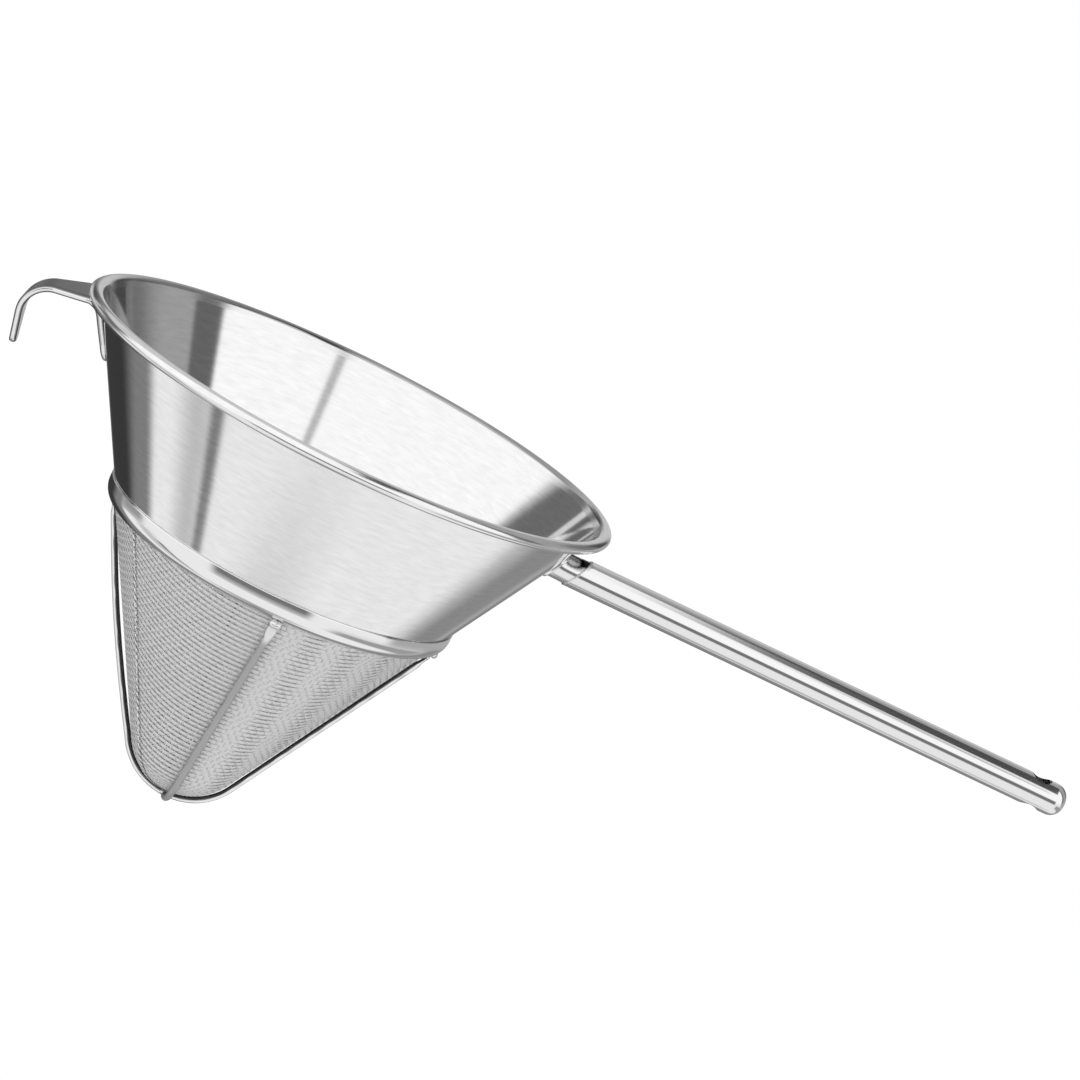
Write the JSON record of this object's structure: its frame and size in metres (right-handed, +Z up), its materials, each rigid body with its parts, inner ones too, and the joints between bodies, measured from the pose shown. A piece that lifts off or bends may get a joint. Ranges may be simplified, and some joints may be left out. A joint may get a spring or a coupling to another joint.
{
  "type": "chinois strainer",
  "caption": "Conical fine-mesh strainer with a rolled rim, a clamped mesh cone with crossed guard wires, a tube handle and a rest hook.",
  "frame": {"origin": "centre of the mouth, level with the top of the rolled rim", "axes": "+Z up the cone's axis and out of the mouth, +X along the handle, -X towards the hook"},
  "size_m": [0.4138, 0.2032, 0.1607],
  "materials": {
    "satin_steel": "satin",
    "bright_steel": "polished",
    "mesh_steel": "woven"
  },
  "bodies": {
    "root": {"cone_body": "satin_steel", "rim_wire": "bright_steel", "mesh_band": "bright_steel", "mesh_cone": "mesh_steel", "mesh_edge_wire": "bright_steel", "guard_side_wire": "bright_steel", "guard_front_wire": "bright_steel", "guard_foot_welds": "bright_steel", "guard_tip_weld": "bright_steel", "handle_bracket": "satin_steel", "handle_tube": "satin_steel", "handle_weld": "bright_steel", "hook": "satin_steel"}
  },
  "joints": []
}
